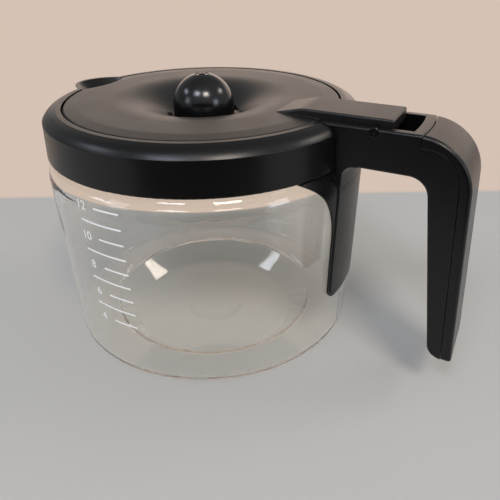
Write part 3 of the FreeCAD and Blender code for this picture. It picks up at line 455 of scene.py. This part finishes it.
ceramic_ink, tree, shader, place = new_material("fired_ceramic_ink")
thin = add_node(tree, "ShaderNodeTexNoise", None, {
    "Vector": place, "Scale": per(THIN_PATCH_MM), "Detail": 2.0}).outputs["Fac"]
ink_colour = add_node(tree, "ShaderNodeMix", {"data_type": "RGBA"}, {
    "Factor": thin, 6: linear("#E9EBEC"), 7: linear("#FAFBFB")}).outputs[2]
tree.links.new(ink_colour, shader.inputs["Base Color"])
shader.inputs["Roughness"].default_value = 0.55
print(ceramic_ink.name)

# %% [markdown]
# A CAD node's shape is right as it is, and it only needs its finish, so its material slots are
# filled with the materials above.

# %% Dress the CAD nodes
FINISHES = {
    "glass_jug": blown_glass,
    "rim_gasket": silicone,
    "collar": black_polypropylene,
    "handle_frame": black_polypropylene,
    "handle_cover": black_polypropylene,
    "lid_shell": lid_polypropylene,
    "flow_dome": polished_polypropylene,
    "hinge_pin": acetal,
    "collar_screws": zinc_plate,
    "cover_screws": zinc_plate,
}
for name, material in FINISHES.items():
    for material_slot in nodes[name].material_slots:
        material_slot.material = material
    print(name, "is", material.name)

# %% [markdown]
# New pieces start as a bmesh and become an object that rides on a CAD body. The object stays at the
# origin, and its place is in its mesh, so that patterns on Object coordinates stay where they are.

# %% Piece helper
SHARP_EDGE = math.radians(35)


def finish_piece(shape, name, body, material):
    """An object from a bmesh, smooth apart from its sharp edges."""
    data = bpy.data.meshes.new(name)
    shape.to_mesh(data)
    shape.free()
    data.shade_smooth()
    data.set_sharp_from_angle(angle=SHARP_EDGE)
    data.materials.append(material)
    piece = bpy.data.objects.new(name, data)
    bpy.context.scene.collection.objects.link(piece)
    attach(piece, body)
    print(name, len(data.vertices), "vertices")
    return piece


# %% [markdown]
# The scale is drawn flat, as on the printer's screen, and then rolled onto the glass. A Shrinkwrap
# modifier could press it on too, but rolling keeps the length of every line. A flat shape only follows
# a curve if it has vertices to bend at, so it is cut into narrow strips first.

# %% Roll onto the glass
WALL_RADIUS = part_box("glass_jug")[1].x
STRIP = 0.6 * MM
CUT_TOLERANCE = 1e-7


def rolled_on(shape, azimuth, height):
    """Roll a flat shape round the glass: x runs along the wall, y up, and z out of it."""
    xs = [vertex.co.x for vertex in shape.verts]
    for number in range(1, int((max(xs) - min(xs)) / STRIP)):
        geometry = shape.verts[:] + shape.edges[:] + shape.faces[:]
        bmesh.ops.bisect_plane(shape, geom=geometry, dist=CUT_TOLERANCE, plane_no=(1, 0, 0),
                               plane_co=(min(xs) + number * STRIP, 0, 0))
    for vertex in shape.verts:
        angle = azimuth + vertex.co.x / WALL_RADIUS
        out = WALL_RADIUS + vertex.co.z
        vertex.co = (out * math.cos(angle), out * math.sin(angle), height + vertex.co.y)


print("wall radius, mm:", round(WALL_RADIUS / MM, 2))

# %% [markdown]
# A tick is a flat bar of ink with rounded corners, so it starts as a cube that is scaled and bevelled.
# A numeral is a text curve with some thickness, which is turned into a mesh and scaled to the height
# of the print. Drawing the figures by hand would only copy what the font already holds.

# %% Ticks and numerals
INK_HEIGHT = 0.05 * MM
TICK_WIDTH = 0.85 * MM
TICK_CORNER = 0.255 * MM
NUMERAL_HEIGHT = 4.3 * MM
FONT_SEAM = 1e-4


def tick(length):
    """A flat bar with rounded ends, its right end at the origin."""
    shape = bmesh.new()
    bmesh.ops.create_cube(shape, size=1)
    bmesh.ops.scale(shape, vec=(length, TICK_WIDTH, INK_HEIGHT), verts=shape.verts)
    bmesh.ops.translate(shape, vec=(-length / 2, 0, INK_HEIGHT / 2), verts=shape.verts)
    corners = [edge for edge in shape.edges
               if abs(edge.verts[0].co.z - edge.verts[1].co.z) > INK_HEIGHT / 2]
    bmesh.ops.bevel(shape, geom=corners, offset=TICK_CORNER, affect="EDGES", segments=3,
                    profile=0.5, material=-1)
    return shape


def numeral(text):
    """A flat numeral, centred on the origin."""
    curve = bpy.data.curves.new("numeral", "FONT")
    curve.body = text
    # Any thickness does here, because the scale below makes it the ink's
    curve.extrude = 0.5
    drawn = bpy.data.objects.new("numeral", curve)
    data = bpy.data.meshes.new_from_object(drawn)
    shape = bmesh.new()
    shape.from_mesh(data)
    bpy.data.objects.remove(drawn)
    bpy.data.curves.remove(curve)
    bpy.data.meshes.remove(data)
    bmesh.ops.remove_doubles(shape, verts=shape.verts, dist=FONT_SEAM)
    low = [min(vertex.co[i] for vertex in shape.verts) for i in range(3)]
    high = [max(vertex.co[i] for vertex in shape.verts) for i in range(3)]
    size = NUMERAL_HEIGHT / (high[1] - low[1])
    middle = ((low[0] + high[0]) / 2, (low[1] + high[1]) / 2, low[2])
    bmesh.ops.translate(shape, vec=[-share for share in middle], verts=shape.verts)
    bmesh.ops.scale(shape, vec=(size, size, INK_HEIGHT / (high[2] - low[2])), verts=shape.verts)
    return shape


# %% [markdown]
# The scale counts cups up the wall. Even cups have a short tick and a numeral, odd cups a long tick.
# Each could be an object of its own, but they are one print, so all ticks become one piece and all
# numerals another.

# %% Cup scale
TOP_CUP = 12
LOWEST_CUP = 4
TOP_CUP_HEIGHT = 103.0 * MM
CUP_STEP = 7.58 * MM
SHORT_TICK = 13.7 * MM
LONG_TICK = 23.5 * MM
# Azimuths on the wall of the right ends of the ticks and the middles of the numerals
TICK_RIGHT = math.radians(-84.4)
NUMERAL_MIDDLE = math.radians(-99.3)


def joined(shapes):
    """One bmesh from several."""
    whole = bmesh.new()
    for shape in shapes:
        data = bpy.data.meshes.new("part")
        shape.to_mesh(data)
        shape.free()
        whole.from_mesh(data)
        bpy.data.meshes.remove(data)
    return whole


ticks = []
numerals = []
for cup in range(LOWEST_CUP, TOP_CUP + 1):
    height = TOP_CUP_HEIGHT - (TOP_CUP - cup) * CUP_STEP
    even = cup % 2 == 0
    bar = tick(SHORT_TICK if even else LONG_TICK)
    rolled_on(bar, TICK_RIGHT, height)
    ticks.append(bar)
    if even:
        figure = numeral(str(cup))
        rolled_on(figure, NUMERAL_MIDDLE, height)
        numerals.append(figure)
finish_piece(joined(ticks), "cup_ticks", "jug", ceramic_ink)
finish_piece(joined(numerals), "cup_numerals", "jug", ceramic_ink)

# %% [markdown]
# The hinge pin is turned from acetal. Only its two ends show, in the snap-in notches of the arm. Each
# end has a chamfer and a shallow dish. A cylinder could be bevelled and inset for that, but a lathe
# cuts a profile, so the profile is drawn as a line and spun round.

# %% Hinge pin
PIN_CHAMFER = 0.35 * MM
PIN_DISH = 0.7 * MM
# Widths of the rim round the dish: with its slope, and its flat alone
PIN_RIM = 0.75 * MM
PIN_LAND = 0.45 * MM
ROUND_STEPS = 48
SPIN_SEAM = 1e-6


def spun(profile, centre, axis):
    """A closed round solid from a profile of (radius, along) pairs."""
    shape = bmesh.new()
    side = Vector((0, 0, 1))
    line = [shape.verts.new(centre + side * radius + axis * along) for radius, along in profile]
    lines = [shape.edges.new(pair) for pair in zip(line, line[1:])]
    bmesh.ops.spin(shape, geom=line + lines, cent=centre, axis=axis, angle=math.tau,
                   steps=ROUND_STEPS, use_merge=True)
    bmesh.ops.remove_doubles(shape, verts=shape.verts, dist=SPIN_SEAM)
    bmesh.ops.recalc_face_normals(shape, faces=shape.faces)
    return shape


pin_low, pin_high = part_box("hinge_pin")
pin_radius = (pin_high.z - pin_low.z) / 2
pin_half = (pin_high.y - pin_low.y) / 2
pin_end = [
    (0, pin_half - PIN_DISH),
    (pin_radius - PIN_CHAMFER - PIN_RIM, pin_half - PIN_DISH),
    (pin_radius - PIN_CHAMFER - PIN_LAND, pin_half),
    (pin_radius - PIN_CHAMFER, pin_half),
    (pin_radius, pin_half - PIN_CHAMFER),
]
pin_profile = pin_end + [(radius, -along) for radius, along in reversed(pin_end)]
pin_shape = spun(pin_profile, (pin_low + pin_high) / 2, Vector((0, 1, 0)))
pin = finish_piece(pin_shape, "pin", "lid", acetal)
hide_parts("hinge_pin")

# %% [markdown]
# Screws hold the collar to the arm and the cover to the grip, two in each CAD node. The new screws have
# to sit where the plain ones are, so the box of each is found from the vertices on either side of the
# node's middle. Fixed places would be shorter, but they would be wrong once the part is changed.

# %% Find the screws
def solids_of(node, axis):
    """Corners of the two solids of a node, which stand apart along an axis."""
    low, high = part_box(node)
    middle = (low[axis] + high[axis]) / 2
    points = [vertex.co for vertex in nodes[node].data.vertices]
    first = [point for point in points if point[axis] < middle]
    second = [point for point in points if point[axis] > middle]
    for side in (first, second):
        yield (Vector([min(point[i] for point in side) for i in range(3)]),
               Vector([max(point[i] for point in side) for i in range(3)]))


# %% [markdown]
# The screws are pan heads with a cross recess. One screw is spun from its profile, as the pin is, and
# the recess is cut with a Boolean modifier. Faces could be inset and pushed in instead, but the cross
# runs over several faces of the head, and a cutter of two bars gives it in one go.

# %% Screws
HEAD_HEIGHT = 1.5 * MM
RECESS_DEPTH = 0.9 * MM
RECESS_WIDTH = 0.75 * MM
# Length of the cross as a share of the head's width
RECESS_SHARE = 0.62
# Radius of the shank as a share of the head's, and the point's sizes as shares of the shank's
SHANK_SHARE = 1.5 / 2.8
POINT_LENGTH = 0.6
POINT_WIDTH = 0.4
# A pan head's profile, as shares of the head's radius and height
PAN_HEAD = [(0.6, 0.02), (0.85, 0.2), (0.97, 0.5), (1, 0.75), (1, 1)]


def screw(low, high):
    """A pan head screw along X between two corners, its head at the lower end."""
    head = (high.z - low.z) / 2
    shank = head * SHANK_SHARE
    length = high.x - low.x
    start = Vector((low.x, (low.y + high.y) / 2, (low.z + high.z) / 2))
    pan = [(0, 0)] + [(head * out, HEAD_HEIGHT * along) for out, along in PAN_HEAD]
    profile = pan + [
        (shank, HEAD_HEIGHT), (shank, length - shank * POINT_LENGTH),
        (shank * POINT_WIDTH, length), (0, length),
    ]
    body = bpy.data.objects.new("screw", bpy.data.meshes.new("screw"))
    solid = spun(profile, start, Vector((1, 0, 0)))
    solid.to_mesh(body.data)
    solid.free()
    cross = bmesh.new()
    for wide, tall in ((RECESS_SHARE, 0), (0, RECESS_SHARE)):
        bar = bmesh.ops.create_cube(cross, size=1)["verts"]
        bmesh.ops.scale(cross, verts=bar, vec=(
            RECESS_DEPTH * 2, max(head * 2 * wide, RECESS_WIDTH), max(head * 2 * tall, RECESS_WIDTH)))
        bmesh.ops.translate(cross, verts=bar, vec=start)
    cutter = bpy.data.objects.new("recess", bpy.data.meshes.new("recess"))
    cross.to_mesh(cutter.data)
    cross.free()
    for item in (body, cutter):
        bpy.context.scene.collection.objects.link(item)
    cut = body.modifiers.new("recess", "BOOLEAN")
    cut.object = cutter
    cut.operation = "DIFFERENCE"
    cut.solver = "EXACT"
    cut.use_self = True
    bpy.context.view_layer.update()
    graph = bpy.context.evaluated_depsgraph_get()
    data = bpy.data.meshes.new_from_object(body.evaluated_get(graph))
    shape = bmesh.new()
    shape.from_mesh(data)
    for item in (body, cutter):
        bpy.data.objects.remove(item)
    bpy.data.meshes.remove(data)
    return shape


# The collar's screws stand apart along Y, the cover's along Z
for node, axis in (("collar_screws", 1), ("cover_screws", 2)):
    pair = joined([screw(low, high) for low, high in solids_of(node, axis)])
    screws = finish_piece(pair, "cross_" + node, "jug", zinc_plate)
    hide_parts(node)
